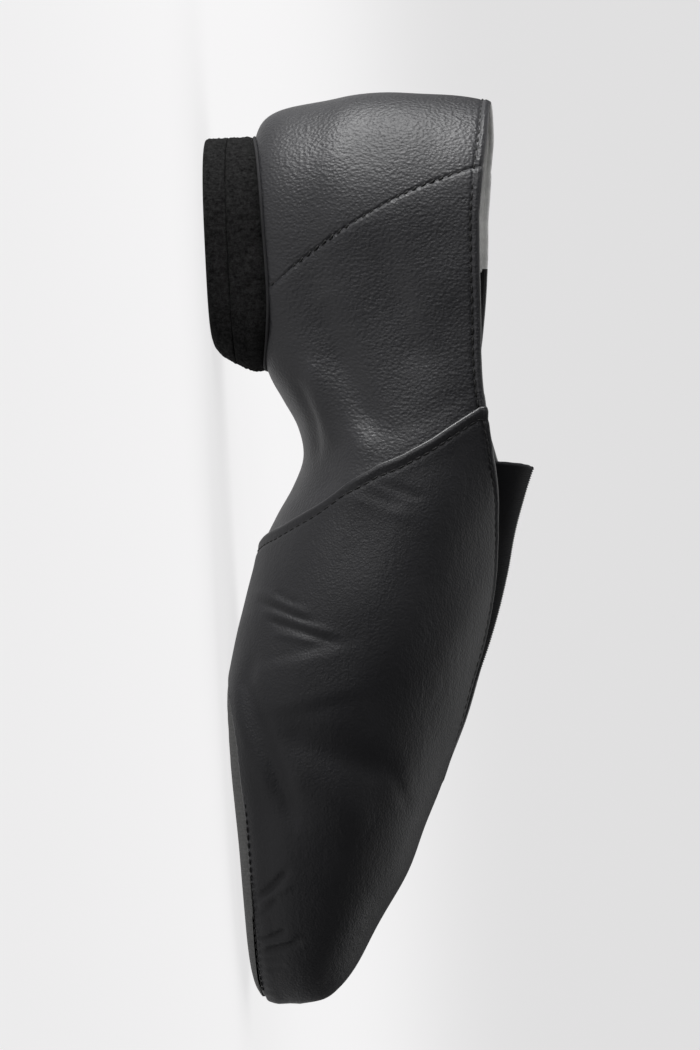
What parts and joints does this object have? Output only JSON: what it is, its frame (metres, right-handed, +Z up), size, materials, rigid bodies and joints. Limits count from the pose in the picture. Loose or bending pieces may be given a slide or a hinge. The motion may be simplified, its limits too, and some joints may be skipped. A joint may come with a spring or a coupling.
{
  "type": "jazz shoe",
  "caption": "Soft slip-on dance shoe with a low heel block, a separate suede forefoot sole, a drawn-up arch and a ribbed elastic in the throat.",
  "frame": {"origin": "middle of the footprint's bounding box, on the floor", "axes": "+X towards the toe, +Y towards the outer side of the foot, +Z up"},
  "size_m": [0.246, 0.0828, 0.0847],
  "materials": {
    "black_leather": "soft black leather, pebbled behind and smoother over the toe, low gloss",
    "black_elastic": "black elastic webbing with fine ribs across the foot",
    "black_suede": "black suede with a short nap",
    "grey_sock": "thin dark grey felt sock",
    "heel_leather": "black covered heel layer with a fuzzy side",
    "heel_rubber": "matt black rubber"
  },
  "bodies": {
    "root": {"upper": "black_leather", "elastic_gore": "black_elastic", "forefoot_sole": "black_suede", "insole": "grey_sock", "heel_base": "heel_leather", "heel_lift": "heel_rubber"}
  },
  "joints": []
}
